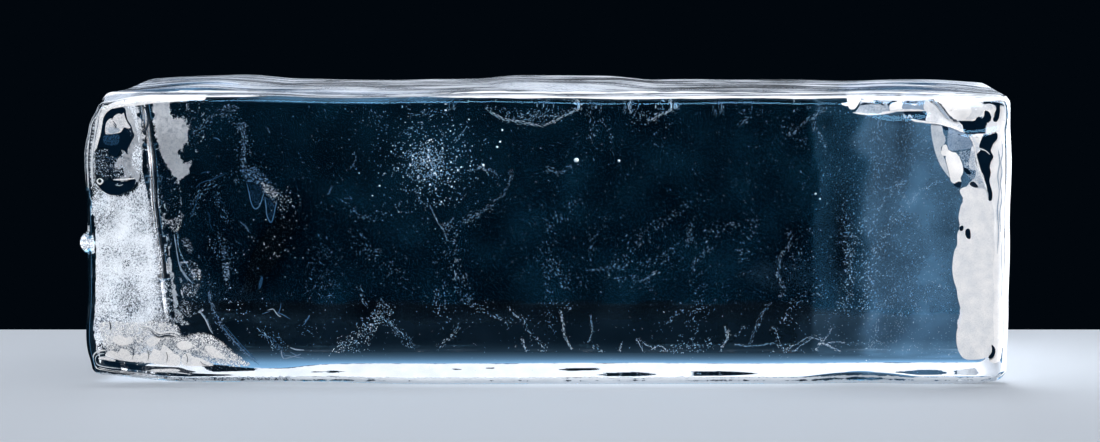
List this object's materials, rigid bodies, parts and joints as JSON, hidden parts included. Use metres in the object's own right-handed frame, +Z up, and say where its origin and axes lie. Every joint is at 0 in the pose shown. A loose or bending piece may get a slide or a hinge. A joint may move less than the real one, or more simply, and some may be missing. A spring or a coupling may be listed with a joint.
{
  "type": "ice cube",
  "caption": "Long clear ice cube with melted edges, frosted ends and a chipped corner, sized for a tall glass.",
  "frame": {"origin": "middle of the underside, at the centre of the block's box seen from above", "axes": "+X along the block's long side towards its chipped end, -Y out of the clear front face, +Z up"},
  "size_m": [0.1258, 0.0386, 0.0391],
  "materials": {
    "clear_ice": "wet polished clear ice, frosted white on its ends, its top and its underside"
  },
  "bodies": {
    "root": {"ice_block": "clear_ice"}
  },
  "joints": []
}
